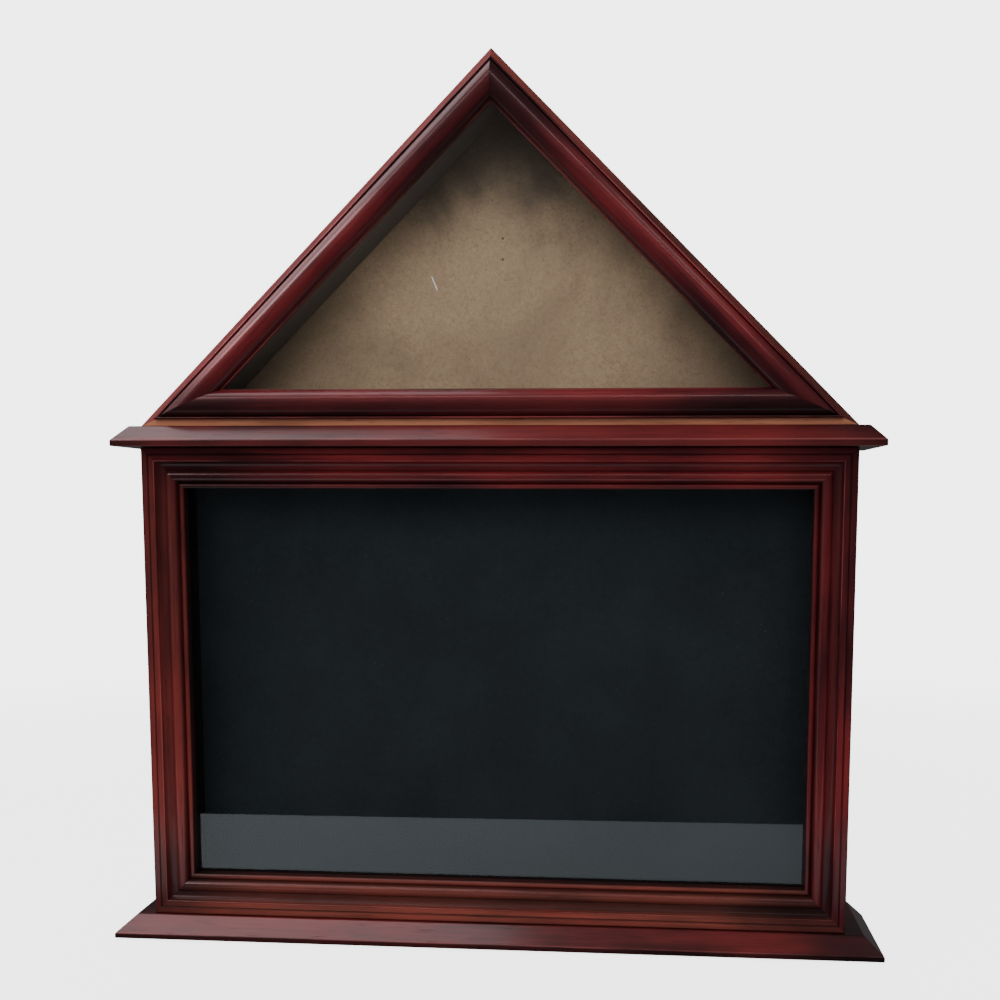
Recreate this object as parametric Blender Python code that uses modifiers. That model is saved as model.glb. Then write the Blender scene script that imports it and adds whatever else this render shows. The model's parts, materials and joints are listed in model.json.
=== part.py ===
"""Flag display case: a gabled flag compartment on a moulded crown, over a glazed shadow box on a plinth.

Metres, +Z up. The front faces -Y and the origin is under the middle of the case, on the surface it
stands on. Every board, moulding, pane, clip and screw is its own object.
"""
import math

import bmesh
import bpy
from mathutils import Matrix, Vector

# Driving dimensions
BODY_WIDTH = 0.660
BODY_DEPTH = 0.090
BOARD = 0.019
BOX_HEIGHT = 0.448
GAP = 0.0003

PAD_RADIUS = 0.009
PAD_THICKNESS = 0.002
PAD_INSET = 0.030
PAD_SEGMENTS = 24

PLINTH_WIDTH = 0.726
PLINTH_EDGE = 0.0045
PLINTH_RUN = 0.0165
CROWN_WIDTH = 0.702
CROWN_EDGE = 0.0055
CROWN_RUN = 0.013
LEDGE_REACH = 0.022

BOX_FRAME_BACK = 0.013
FLAG_FRAME_INSET = 0.0060

GLASS = 0.002
GLASS_PLAY = 0.0005
BEAD = 0.008
PANEL = 0.0032
RABBET = 0.007
RABBET_DEPTH = 0.0035
DISPLAY_BOARD = 0.003
FELT = 0.0015

BUTTON_PIVOT_INSET = 0.006
BUTTON_PIVOT_RADIUS = 0.0055
BUTTON_TIP_RADIUS = 0.004
BUTTON_REACH = 0.020
BUTTON_THICKNESS = 0.0015
BUTTON_HOLE = 0.0019

SCREW_HEAD_RADIUS = 0.0034
SCREW_HEAD_HEIGHT = 0.0021
SCREW_SHANK_RADIUS = 0.0013
SCREW_LENGTH = 0.014
PILOT_RADIUS = 0.0017
ROUND_SEGMENTS = 16

STRAP_WIDTH = 0.014
STRAP_THICKNESS = 0.0012
STRAP_LENGTH = 0.036
STRAP_SCREWS = (0.010, 0.030)
STRAP_SCREW_LENGTH = 0.0085
STRAP_HOLE_LENGTH = 0.010
HANGER_HEIGHT = 0.684
RING_WIRE = 0.0013
RING_EYE = 0.0016
RING_HALF_WIDTH = 0.014
RING_DROP = 0.017
RING_CORNER = 0.004

# Heights and depths worked out from them
PLINTH_BOTTOM = PAD_THICKNESS + GAP
PLINTH_TOP = PLINTH_BOTTOM + BOARD
BOX_BOTTOM = PLINTH_TOP + GAP
BOX_TOP = BOX_BOTTOM + BOX_HEIGHT
CROWN_BOTTOM = BOX_TOP + GAP
CROWN_TOP = CROWN_BOTTOM + BOARD
ROOF_BOTTOM = CROWN_TOP + GAP
ROOF_HEIGHT = BODY_WIDTH / 2

RING_AXIS_OUT = GAP + RING_EYE + STRAP_THICKNESS
HARDWARE_DEPTH = RING_AXIS_OUT + RING_EYE + STRAP_THICKNESS
OVERALL_DEPTH = LEDGE_REACH + BODY_DEPTH + HARDWARE_DEPTH
LEDGE_FRONT = -OVERALL_DEPTH / 2
BODY_FRONT = LEDGE_FRONT + LEDGE_REACH
BODY_BACK = BODY_FRONT + BODY_DEPTH
BOX_FRAME_REAR = BODY_FRONT + BOX_FRAME_BACK
BOX_FRONT = BOX_FRAME_REAR + GAP

HALF = BODY_WIDTH / 2
FRONTWARD = Vector((0, -1, 0))
UP = Vector((0, 0, 1))
RIGHT = Vector((1, 0, 0))
SLOPE_INWARD_LEFT = Vector((1, 0, -1)).normalized()
SLOPE_INWARD_RIGHT = Vector((-1, 0, -1)).normalized()

CHERRY = ("cherry_stain", (0.085, 0.018, 0.014), 0.25, 0.0)
RAW_BOARD = ("raw_hardboard", (0.42, 0.31, 0.20), 0.85, 0.0)
BLACK_FELT = ("black_felt", (0.012, 0.014, 0.016), 0.95, 0.0)
CLEAR_GLASS = ("clear_glass", (0.75, 0.82, 0.82), 0.03, 0.0)
BRASS = ("brass_plate", (0.60, 0.42, 0.16), 0.35, 1.0)
ZINC = ("zinc_steel", (0.55, 0.56, 0.58), 0.35, 1.0)
PAD_FELT = ("pad_felt", (0.10, 0.08, 0.07), 0.95, 0.0)


def clear_scene():
    for found in list(bpy.data.objects):
        bpy.data.objects.remove(found, do_unlink=True)
    for name in ("flag_display_case", "cutters"):
        bpy.context.scene.collection.children.link(bpy.data.collections.new(name))


def give_material(thing, finish):
    name, colour, roughness, metallic = finish
    made = bpy.data.materials.get(name) or bpy.data.materials.new(name)
    made.use_nodes = True
    shader = made.node_tree.nodes["Principled BSDF"]
    shader.inputs["Base Color"].default_value = (*colour, 1)
    shader.inputs["Roughness"].default_value = roughness
    shader.inputs["Metallic"].default_value = metallic
    made.diffuse_color = (*colour, 1)
    thing.data.materials.append(made)


def place(name, mesh, finish=None):
    """A new object in the case's collection, or among the cutters when it has no finish."""
    thing = bpy.data.objects.new(name, mesh)
    if finish:
        bpy.data.collections["flag_display_case"].objects.link(thing)
        give_material(thing, finish)
        return thing
    bpy.data.collections["cutters"].objects.link(thing)
    thing.hide_render = True
    thing.display_type = "WIRE"
    return thing


def block(name, low, high, finish=None):
    """A square-edged piece between two corners."""
    low, high = Vector(low), Vector(high)
    work = bmesh.new()
    bmesh.ops.create_cube(work, size=1)
    bmesh.ops.scale(work, vec=high - low, verts=work.verts)
    bmesh.ops.translate(work, vec=(low + high) / 2, verts=work.verts)
    mesh = bpy.data.meshes.new(name)
    work.to_mesh(mesh)
    work.free()
    return place(name, mesh, finish)


def cylinder(name, radius, start, direction, length, segments, finish=None):
    """A round bar from a start point along a direction."""
    direction = Vector(direction).normalized()
    turn = UP.rotation_difference(direction).to_matrix().to_4x4()
    centre = Vector(start) + direction * length / 2
    work = bmesh.new()
    bmesh.ops.create_cone(
        work,
        cap_ends=True,
        segments=segments,
        radius1=radius,
        radius2=radius,
        depth=length,
        matrix=Matrix.Translation(centre) @ turn,
    )
    mesh = bpy.data.meshes.new(name)
    work.to_mesh(mesh)
    work.free()
    return place(name, mesh, finish)


def drill(thing, name, start, direction, length, radius=PILOT_RADIUS):
    subtract(thing, cylinder(name, radius, start, direction, length, ROUND_SEGMENTS))


def subtract(thing, cutter):
    cut = thing.modifiers.new(cutter.name, "BOOLEAN")
    cut.operation = "DIFFERENCE"
    cut.solver = "EXACT"
    cut.object = cutter


def arc(centre, radii, start, end, steps):
    """Points on an ellipse's arc, from one angle in degrees to another."""
    points = []
    for step in range(steps + 1):
        angle = math.radians(start + (end - start) * step / steps)
        points.append((centre[0] + radii[0] * math.cos(angle), centre[1] + radii[1] * math.sin(angle)))
    return points


def full_circle(radius):
    return arc((0, 0), (radius, radius), 0, 360 - 360 / ROUND_SEGMENTS, ROUND_SEGMENTS - 1)


def outline_mesh(name, outlines, thickness):
    """A closed mesh from flat outlines in XY, where any inner outline is a hole, thick along Z."""
    curve = bpy.data.curves.new(name, "CURVE")
    curve.dimensions = "2D"
    curve.fill_mode = "BOTH"
    curve.extrude = thickness / 2
    for outline in outlines:
        spline = curve.splines.new("POLY")
        spline.points.add(len(outline) - 1)
        for point, (x, y) in zip(spline.points, outline):
            point.co = (x, y, 0, 1)
        spline.use_cyclic_u = True
    holder = bpy.data.objects.new(name, curve)
    bpy.context.scene.collection.objects.link(holder)
    evaluated = holder.evaluated_get(bpy.context.evaluated_depsgraph_get())
    mesh = bpy.data.meshes.new_from_object(evaluated)
    bpy.data.objects.remove(holder)
    bpy.data.curves.remove(curve)
    mesh.materials.clear()
    work = bmesh.new()
    work.from_mesh(mesh)
    bmesh.ops.remove_doubles(work, verts=work.verts, dist=1e-6)
    bmesh.ops.recalc_face_normals(work, faces=work.faces)
    work.to_mesh(mesh)
    work.free()
    return mesh


def rail(name, outline, ends, inward, neighbours, rear, finish):
    """A length of moulding between two corners, mitred into its neighbours.

    The outline runs inward from the outer edge and forward from the rear plane. Each mitre is the
    plane that lies as far from this rail's outer edge as from its neighbour's.
    """
    start, end = Vector(ends[0]), Vector(ends[1])
    length = (end - start).length
    mesh = outline_mesh(name, [outline], length + BOARD)
    middle = (start + end) / 2
    middle.y = rear
    along = inward.cross(FRONTWARD)
    turn = Matrix((inward, FRONTWARD, along)).transposed().to_4x4()
    work = bmesh.new()
    work.from_mesh(mesh)
    bmesh.ops.transform(work, matrix=Matrix.Translation(middle) @ turn, verts=work.verts)
    for corner, neighbour in ((start, neighbours[0]), (end, neighbours[1])):
        normal = (inward - neighbour).normalized()
        bmesh.ops.bisect_plane(
            work,
            geom=work.verts[:] + work.edges[:] + work.faces[:],
            dist=1e-7,
            plane_co=corner - normal * GAP / 2,
            plane_no=normal,
            clear_outer=True,
        )
        bmesh.ops.holes_fill(work, edges=[edge for edge in work.edges if edge.is_boundary])
    bmesh.ops.recalc_face_normals(work, faces=work.faces)
    work.to_mesh(mesh)
    work.free()
    return place(name, mesh, finish)


def ledge_board(name, width, bottom, edge, run):
    """A board whose top is bevelled back at the front and both ends, and square behind."""
    work = bmesh.new()
    bmesh.ops.create_cube(work, size=1)
    bmesh.ops.scale(work, vec=(width, LEDGE_REACH + BODY_DEPTH, edge), verts=work.verts)
    centre = (0, (LEDGE_FRONT + BODY_BACK) / 2, bottom + edge / 2)
    bmesh.ops.translate(work, vec=centre, verts=work.verts)
    top = max(work.faces, key=lambda face: face.calc_center_median().z)
    raised = bmesh.ops.extrude_face_region(work, geom=[top])["geom"]
    bmesh.ops.delete(work, geom=[top], context="FACES_ONLY")
    for vert in (item for item in raised if isinstance(item, bmesh.types.BMVert)):
        vert.co.z = bottom + BOARD
        vert.co.x -= math.copysign(run, vert.co.x)
        if vert.co.y < 0:
            vert.co.y += run
    bmesh.ops.recalc_face_normals(work, faces=work.faces)
    mesh = bpy.data.meshes.new(name)
    work.to_mesh(mesh)
    work.free()
    return place(name, mesh, CHERRY)


def pads():
    for side, x in (("left", -1), ("right", 1)):
        for end, y in (("front", LEDGE_FRONT + PAD_INSET), ("back", BODY_BACK - PAD_INSET)):
            spot = (x * (PLINTH_WIDTH / 2 - PAD_INSET), y, 0)
            cylinder(f"pad_{end}_{side}", PAD_RADIUS, spot, UP, PAD_THICKNESS, PAD_SEGMENTS, PAD_FELT)


def box_frame_outline():
    """The wide moulding: edge strip with a scratched line, sharp arris, cove, roll and sight bead."""
    points = [(0, 0), (0.038, 0), (0.038, 0.0075)]
    points += arc((0.0356, 0.0075), (0.0024, 0.0025), 15, 180, 6)
    points += [(0.0324, 0.0075), (0.0321, 0.0092)]
    points += arc((0.0266, 0.0092), (0.0053, 0.0052), 15, 165, 9)
    points += [(0.0212, 0.0098)]
    points += arc((0.0206, 0.0166), (0.0076, 0.0064), 262, 180, 6)
    points += [(0.0128, 0.0172), (0.0122, 0.0172), (0.0119, 0.0160)]
    points += [(0.0074, 0.0160), (0.0066, 0.0152), (0.0058, 0.0160)]
    points += arc((0.0014, 0.0146), (0.0014, 0.0014), 90, 170, 3)
    return points


def flag_frame_outline():
    """The narrow moulding: a small lip bead and a groove outside, then one full roll to the sight edge."""
    points = [(0, 0), (0.0270, 0), (0.0270, 0.0034), (0.0263, 0.0042)]
    points += arc((0.0143, 0.0042), (0.0119, 0.0090), 10, 163, 12)
    points += [(0.0025, 0.0056)]
    points += arc((0.00115, 0.0059), (0.0011, 0.0009), 5, 175, 4)
    points += [(0, 0.0056)]
    return points


def glazing_bead_outline():
    """A quarter-round bead: flat against the pane and the board, rounded towards the inside."""
    return [(0, 0)] + arc((0.002, 0.006), (0.006, 0.006), -90, 0, 6) + [(BEAD, BEAD), (0, BEAD)]


def box_rails(prefix, inset, outline, rear, finish):
    """Four mitred lengths round the shadow box, with their outer edges inset from its outside."""
    left, right = -HALF + inset, HALF - inset
    bottom, top = BOX_BOTTOM + inset, BOX_TOP - inset
    corners = {
        "left": ((left, 0, bottom), (left, 0, top), RIGHT, (UP, -UP)),
        "right": ((right, 0, bottom), (right, 0, top), -RIGHT, (UP, -UP)),
        "bottom": ((left, 0, bottom), (right, 0, bottom), UP, (RIGHT, -RIGHT)),
        "top": ((left, 0, top), (right, 0, top), -UP, (RIGHT, -RIGHT)),
    }
    for side, (start, end, inward, neighbours) in corners.items():
        rail(f"{prefix}_{side}", outline, (start, end), inward, neighbours, rear, finish)


def roof_corners(inset):
    """The gable's three corners, moved in by the same distance from every side."""
    low = ROOF_BOTTOM + inset
    half = HALF - inset * (1 + math.sqrt(2))
    return (-half, 0, low), (half, 0, low), (0, 0, low + half)


def roof_rails(names, inset, outline, rear, finish):
    """Three mitred lengths round the flag compartment: left slope, right slope and foot."""
    left, right, apex = roof_corners(inset)
    sides = (
        (left, apex, SLOPE_INWARD_LEFT, (UP, SLOPE_INWARD_RIGHT)),
        (right, apex, SLOPE_INWARD_RIGHT, (UP, SLOPE_INWARD_LEFT)),
        (left, right, UP, (SLOPE_INWARD_LEFT, SLOPE_INWARD_RIGHT)),
    )
    made = []
    for name, (start, end, inward, neighbours) in zip(names, sides):
        made.append(rail(name, outline, (start, end), inward, neighbours, rear, finish))
    return made


def gable_sheet(name, inset, front, thickness, finish=None):
    """A flat triangle inset from the gable's outside, from a front plane backwards."""
    mesh = outline_mesh(name, [[(x, z) for x, _, z in roof_corners(inset)]], thickness)
    stand_up = Matrix.Rotation(math.radians(90), 4, "X")
    mesh.transform(Matrix.Translation((0, front + thickness / 2, 0)) @ stand_up)
    return place(name, mesh, finish)


def shadow_box():
    """The box boards, butted between plinth and crown and rabbeted behind for the back panel."""
    inner = HALF - BOARD
    sides = {
        "box_side_left": ((-HALF, BOX_FRONT, BOX_BOTTOM), (-inner, BODY_BACK, BOX_TOP)),
        "box_side_right": ((inner, BOX_FRONT, BOX_BOTTOM), (HALF, BODY_BACK, BOX_TOP)),
        "box_floor_board": (
            (-inner + GAP, BOX_FRONT, BOX_BOTTOM),
            (inner - GAP, BODY_BACK, BOX_BOTTOM + BOARD),
        ),
        "box_top_board": (
            (-inner + GAP, BOX_FRONT, BOX_TOP - BOARD),
            (inner - GAP, BODY_BACK, BOX_TOP),
        ),
    }
    reach = inner + RABBET
    low, high = BOX_BOTTOM + BOARD - RABBET, BOX_TOP - BOARD + RABBET
    rabbet = block(
        "box_rabbet_cutter",
        (-reach, BODY_BACK - RABBET_DEPTH, low),
        (reach, BODY_BACK + BOARD, high),
    )
    boards = {}
    for name, (start, end) in sides.items():
        boards[name] = block(name, start, end, CHERRY)
        subtract(boards[name], rabbet)
    panel_edge = reach - GAP
    block(
        "box_back_panel",
        (-panel_edge, BODY_BACK - PANEL, low + GAP),
        (panel_edge, BODY_BACK, high - GAP),
        RAW_BOARD,
    )
    return boards


def shadow_box_inside():
    """Pane, glazing beads, and the felt on its removable board in front of the back panel."""
    play = HALF - BOARD - GLASS_PLAY
    low, high = BOX_BOTTOM + BOARD + GLASS_PLAY, BOX_TOP - BOARD - GLASS_PLAY
    block("box_glass", (-play, BOX_FRONT, low), (play, BOX_FRONT + GLASS, high), CLEAR_GLASS)
    bead_rear = BOX_FRONT + GLASS + GAP + BEAD
    box_rails("box_bead", BOARD + GAP, glazing_bead_outline(), bead_rear, CHERRY)
    rear = BODY_BACK - RABBET_DEPTH - GAP
    board_front = rear - DISPLAY_BOARD
    block("display_board", (-play, board_front, low), (play, rear, high), RAW_BOARD)
    felt_front = board_front - GAP - FELT
    block("felt_lining", (-play, felt_front, low), (play, felt_front + FELT, high), BLACK_FELT)


def flag_compartment():
    """Two slopes and a foot, mitred and rabbeted, with their pane, beads and back panel."""
    board = [(0, 0), (BOARD, 0), (BOARD, BODY_DEPTH), (0, BODY_DEPTH)]
    names = ("roof_board_left", "roof_board_right", "flag_floor_board")
    boards = dict(zip(names, roof_rails(names, 0, board, BODY_BACK, CHERRY)))
    rabbet = gable_sheet("roof_rabbet_cutter", BOARD - RABBET, BODY_BACK - RABBET_DEPTH, BOARD)
    for made in boards.values():
        subtract(made, rabbet)
    frame = ("flag_frame_left", "flag_frame_right", "flag_frame_bottom")
    roof_rails(frame, FLAG_FRAME_INSET, flag_frame_outline(), BODY_FRONT - GAP, CHERRY)
    gable_sheet("flag_glass", BOARD + GLASS_PLAY, BODY_FRONT, GLASS, CLEAR_GLASS)
    beads = ("flag_bead_left", "flag_bead_right", "flag_bead_bottom")
    bead_rear = BODY_FRONT + GLASS + GAP + BEAD
    roof_rails(beads, BOARD + GAP, glazing_bead_outline(), bead_rear, CHERRY)
    panel = gable_sheet("flag_back_panel", BOARD - RABBET + GAP, BODY_BACK - PANEL, PANEL, RAW_BOARD)
    return boards, panel


def button_mesh():
    """A flat turn button: a pivot end and a smaller tip joined by their tangents, with its screw hole."""
    lean = math.degrees(math.acos((BUTTON_PIVOT_RADIUS - BUTTON_TIP_RADIUS) / BUTTON_REACH))
    pivot = (BUTTON_PIVOT_RADIUS, BUTTON_PIVOT_RADIUS)
    tip = (BUTTON_TIP_RADIUS, BUTTON_TIP_RADIUS)
    outside = arc((0, 0), pivot, lean, 360 - lean, 16) + arc((BUTTON_REACH, 0), tip, -lean, lean, 10)
    hole = full_circle(BUTTON_HOLE)
    return outline_mesh("turn_button", [outside, hole], BUTTON_THICKNESS)


def screw_profile(length):
    """Half a pan-head screw from its crown down to its point, with its seat at height zero."""
    points = arc((0, 0), (SCREW_HEAD_RADIUS, SCREW_HEAD_HEIGHT), 90, 15, 4)
    points += [(SCREW_HEAD_RADIUS, 0), (SCREW_SHANK_RADIUS, 0)]
    points += [(SCREW_SHANK_RADIUS, -length * 0.75), (0, -length)]
    return points


def screw(name, seat, length, finish):
    """A screw driven forward from the back, its head's underside on the seat point."""
    points = screw_profile(length)
    mesh = bpy.data.meshes.new(name)
    mesh.from_pydata([(x, 0, z) for x, z in points], [(i, i + 1) for i in range(len(points) - 1)], [])
    made = place(name, mesh, finish)
    made.location = seat
    made.rotation_euler = (math.radians(-90), 0, 0)
    turn = made.modifiers.new("turned", "SCREW")
    turn.axis = "Z"
    turn.angle = math.radians(360)
    turn.steps = turn.render_steps = ROUND_SEGMENTS
    turn.use_merge_vertices = True
    turn.merge_threshold = 0.0001
    return made


def turn_button(name, board, spot, inward):
    """A turn button on a board's rear edge, its tip over the back panel, with its screw and pilot hole."""
    pivot = Vector((spot[0], BODY_BACK + GAP + BUTTON_THICKNESS / 2, spot[1]))
    button = place(name, button_mesh(), BRASS)
    across = inward.cross(FRONTWARD)
    turn = Matrix((inward, across, -FRONTWARD)).transposed().to_4x4()
    button.matrix_world = Matrix.Translation(pivot) @ turn
    seat = (spot[0], BODY_BACK + 2 * GAP + BUTTON_THICKNESS, spot[1])
    screw(f"{name}_screw", seat, SCREW_LENGTH, BRASS)
    drill(board, f"{name}_pilot", (spot[0], BODY_BACK + GAP, spot[1]), FRONTWARD, SCREW_LENGTH)


def box_buttons(boards):
    """Six buttons: one at the middle of each side, two along the top and two along the floor."""
    pivot_x = HALF - BUTTON_PIVOT_INSET
    middle = (BOX_BOTTOM + BOX_TOP) / 2
    low, high = BOX_BOTTOM + BUTTON_PIVOT_INSET, BOX_TOP - BUTTON_PIVOT_INSET
    spread = BODY_WIDTH / 4
    turn_button("box_button_left", boards["box_side_left"], (-pivot_x, middle), RIGHT)
    turn_button("box_button_right", boards["box_side_right"], (pivot_x, middle), -RIGHT)
    for side, x in (("left", -spread), ("right", spread)):
        turn_button(f"box_button_top_{side}", boards["box_top_board"], (x, high), -UP)
        turn_button(f"box_button_bottom_{side}", boards["box_floor_board"], (x, low), UP)


def flag_buttons(boards):
    """Four buttons: one at the middle of each slope and two along the foot."""
    left, right, apex = (Vector(corner) for corner in roof_corners(BUTTON_PIVOT_INSET))
    on_left, on_right = (left + apex) / 2, (right + apex) / 2
    turn_button("flag_button_left", boards["roof_board_left"], (on_left.x, on_left.z), SLOPE_INWARD_LEFT)
    right_board = boards["roof_board_right"]
    turn_button("flag_button_right", right_board, (on_right.x, on_right.z), SLOPE_INWARD_RIGHT)
    for side, x in (("left", -BODY_WIDTH / 5), ("right", BODY_WIDTH / 5)):
        turn_button(f"flag_button_bottom_{side}", boards["flag_floor_board"], (x, left.z), UP)


def ring_path():
    """The D of the hanging ring: a straight bar along X, two tight corners and a round bow below."""
    corner = RING_CORNER
    side = RING_HALF_WIDTH - corner
    points = arc((side, -corner), (corner, corner), 90, 0, 4)
    points += arc((0, -corner), (RING_HALF_WIDTH, RING_DROP - corner), -12, -168, 14)
    points += arc((-side, -corner), (corner, corner), 180, 90, 4)
    return points


def hanger_ring():
    curve = bpy.data.curves.new("hanger_ring", "CURVE")
    curve.dimensions = "3D"
    curve.bevel_depth = RING_WIRE
    curve.bevel_resolution = 2
    path = ring_path()
    spline = curve.splines.new("POLY")
    spline.points.add(len(path) - 1)
    for point, (x, z) in zip(spline.points, path):
        point.co = (x, 0, z, 1)
    spline.use_cyclic_u = True
    ring = place("hanger_ring", curve, ZINC)
    ring.location = (0, BODY_BACK + RING_AXIS_OUT, HANGER_HEIGHT)
    return ring


def hanger_strap():
    """The strap: a flat plate rolled over the ring's bar at its top, seen here from its edge."""
    wrap = RING_EYE + STRAP_THICKNESS
    meet = math.degrees(math.asin(RING_EYE / wrap))
    side = [(-STRAP_LENGTH, -wrap), (0, -wrap)] + arc((0, 0), (wrap, wrap), -75, 180 + meet, 15)
    side += [(-STRAP_LENGTH, -RING_EYE)]
    mesh = outline_mesh("hanger_strap", [side, full_circle(RING_EYE)], STRAP_WIDTH)
    mesh.transform(Matrix((UP, -FRONTWARD, -RIGHT)).transposed().to_4x4())
    strap = place("hanger_strap", mesh, ZINC)
    strap.location = (0, BODY_BACK + RING_AXIS_OUT, HANGER_HEIGHT)
    return strap


def hanger(panel):
    """The strap hanger on the flag compartment's back: two short screws through strap and panel."""
    strap = hanger_strap()
    hanger_ring()
    seat_out = BODY_BACK + 2 * GAP + STRAP_THICKNESS
    for level, drop in zip(("upper", "lower"), STRAP_SCREWS):
        height = HANGER_HEIGHT - drop
        screw(f"hanger_screw_{level}", (0, seat_out, height), STRAP_SCREW_LENGTH, ZINC)
        start = (0, seat_out + GAP, height)
        for drilled in (strap, panel):
            drill(drilled, f"{drilled.name}_{level}_hole", start, FRONTWARD, STRAP_HOLE_LENGTH)


def main():
    clear_scene()
    pads()
    ledge_board("plinth_board", PLINTH_WIDTH, PLINTH_BOTTOM, PLINTH_EDGE, PLINTH_RUN)
    box_boards = shadow_box()
    box_rails("box_frame", 0, box_frame_outline(), BOX_FRAME_REAR, CHERRY)
    shadow_box_inside()
    box_buttons(box_boards)
    ledge_board("crown_board", CROWN_WIDTH, CROWN_BOTTOM, CROWN_EDGE, CROWN_RUN)
    roof_boards, flag_panel = flag_compartment()
    flag_buttons(roof_boards)
    hanger(flag_panel)


main()
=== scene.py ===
import json
import math

import bmesh
import bpy
from mathutils import Matrix, Vector


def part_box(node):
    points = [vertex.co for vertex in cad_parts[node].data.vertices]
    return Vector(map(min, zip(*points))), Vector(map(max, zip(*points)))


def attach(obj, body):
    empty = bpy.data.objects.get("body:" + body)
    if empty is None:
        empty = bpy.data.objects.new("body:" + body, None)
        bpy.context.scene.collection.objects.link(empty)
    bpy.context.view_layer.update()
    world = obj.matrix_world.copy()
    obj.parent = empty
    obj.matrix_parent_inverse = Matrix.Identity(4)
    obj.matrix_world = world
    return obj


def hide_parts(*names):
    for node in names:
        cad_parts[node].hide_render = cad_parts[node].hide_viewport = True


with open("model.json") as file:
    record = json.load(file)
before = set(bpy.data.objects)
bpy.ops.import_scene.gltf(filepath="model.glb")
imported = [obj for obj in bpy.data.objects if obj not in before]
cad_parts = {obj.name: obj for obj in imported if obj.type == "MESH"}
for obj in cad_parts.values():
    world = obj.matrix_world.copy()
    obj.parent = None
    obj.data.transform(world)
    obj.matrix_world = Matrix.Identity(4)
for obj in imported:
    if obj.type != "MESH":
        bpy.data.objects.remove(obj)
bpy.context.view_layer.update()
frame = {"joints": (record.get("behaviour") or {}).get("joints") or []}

mm = 0.001

# the case's main planes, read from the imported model
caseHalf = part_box("box_side_right")[1].x
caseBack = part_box("box_side_right")[1].y
boxBottom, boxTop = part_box("box_side_right")[0].z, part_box("box_side_right")[1].z
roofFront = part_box("flag_floor_board")[0].y
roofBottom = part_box("flag_floor_board")[0].z
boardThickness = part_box("flag_floor_board")[1].z - roofBottom

frontward = Vector((0, -1, 0))
right = Vector((1, 0, 0))
up = Vector((0, 0, 1))
inFromLeftSlope = Vector((1, 0, -1)).normalized()
inFromRightSlope = Vector((-1, 0, -1)).normalized()


def deselectAll():
    for thing in list(bpy.context.selected_objects):
        thing.select_set(False)


def named(name):  # the object that the last primitive made
    piece = bpy.context.active_object
    piece.name = piece.data.name = name
    return piece


def makeActive(piece):
    deselectAll()
    piece.select_set(True)
    bpy.context.view_layer.objects.active = piece


def pickFaces(piece, wanted):  # in edit mode: only the faces that pass the test
    bpy.ops.mesh.select_all(action="DESELECT")
    bpy.ops.mesh.select_mode(type="FACE")
    mesh = bmesh.from_edit_mesh(piece.data)
    for face in mesh.faces:
        face.select_set(wanted(face.calc_center_median(), face.normal))
    bmesh.update_edit_mesh(piece.data)


def applyModifier(piece, kind, **settings):
    makeActive(piece)
    step = piece.modifiers.new(kind.lower(), kind)
    for key, value in settings.items():
        setattr(step, key, value)
    bpy.ops.object.modifier_apply(modifier=step.name)


def easeEdges(piece, width, segments=3, sharper=30):
    applyModifier(piece, "BEVEL", width=width, segments=segments, limit_method="ANGLE",
                  angle_limit=math.radians(sharper), harden_normals=False, miter_outer="MITER_ARC")


def smoothBelow(piece, degrees):  # the wide faces keep their own flat shine
    makeActive(piece)
    bpy.ops.object.shade_smooth_by_angle(angle=math.radians(degrees))
    applyModifier(piece, "WEIGHTED_NORMAL", weight=90, keep_sharp=True)


def settle(piece):  # the object goes to the origin and its place goes into its mesh
    makeActive(piece)
    bpy.ops.object.transform_apply(location=True, rotation=True, scale=True)


def finishPiece(piece, material, body="case"):  # it stands for the node whose name it carries
    piece.data.materials.clear()
    piece.data.materials.append(material)
    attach(piece, body)
    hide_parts(piece.name.replace("_shown", ""))


def arc(centre, radii, start, end, steps):  # an ellipse's arc, between two angles in degrees
    points = []
    for step in range(steps + 1):
        angle = math.radians(start + (end - start) * step / steps)
        points.append((centre[0] + radii[0] * math.cos(angle), centre[1] + radii[1] * math.sin(angle)))
    return points


def walkOutline(name, points):  # one vertex pulled from point to point, and left picked in edit mode
    deselectAll()
    bpy.ops.mesh.primitive_plane_add(size=mm, location=(0, 0, 0))
    piece = named(name)
    bpy.ops.object.mode_set(mode="EDIT")
    bpy.ops.mesh.select_mode(type="VERT")
    bpy.ops.mesh.select_all(action="SELECT")
    bpy.ops.mesh.merge(type="CENTER")
    here = Vector(points[0])
    bpy.ops.transform.translate(value=here)
    for point in points[1:]:
        bpy.ops.mesh.extrude_region_move(TRANSFORM_OT_translate={"value": Vector(point) - here})
        here = Vector(point)
    bpy.ops.mesh.select_all(action="SELECT")
    return piece


def drawOutline(name, points):  # a flat face inside its outline
    piece = walkOutline(name, points)
    bpy.ops.mesh.edge_face_add()
    bpy.ops.object.mode_set(mode="OBJECT")
    return piece


def faceOutward():  # from edit mode: all the faces look outward, and the piece is closed again
    bpy.ops.mesh.select_all(action="SELECT")
    bpy.ops.mesh.normals_make_consistent(inside=False)
    bpy.ops.object.mode_set(mode="OBJECT")


def pullOut(way):  # the flat face just drawn becomes a solid
    bpy.ops.object.mode_set(mode="EDIT")
    bpy.ops.mesh.select_all(action="SELECT")
    bpy.ops.mesh.extrude_region_move(TRANSFORM_OT_translate={"value": way})
    faceOutward()


def makeBlock(name, middle, size, turn=0):
    deselectAll()
    bpy.ops.mesh.primitive_cube_add(size=1, location=middle, rotation=(0, 0, turn))
    block = named(name)
    block.scale = size
    settle(block)
    return block


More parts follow.
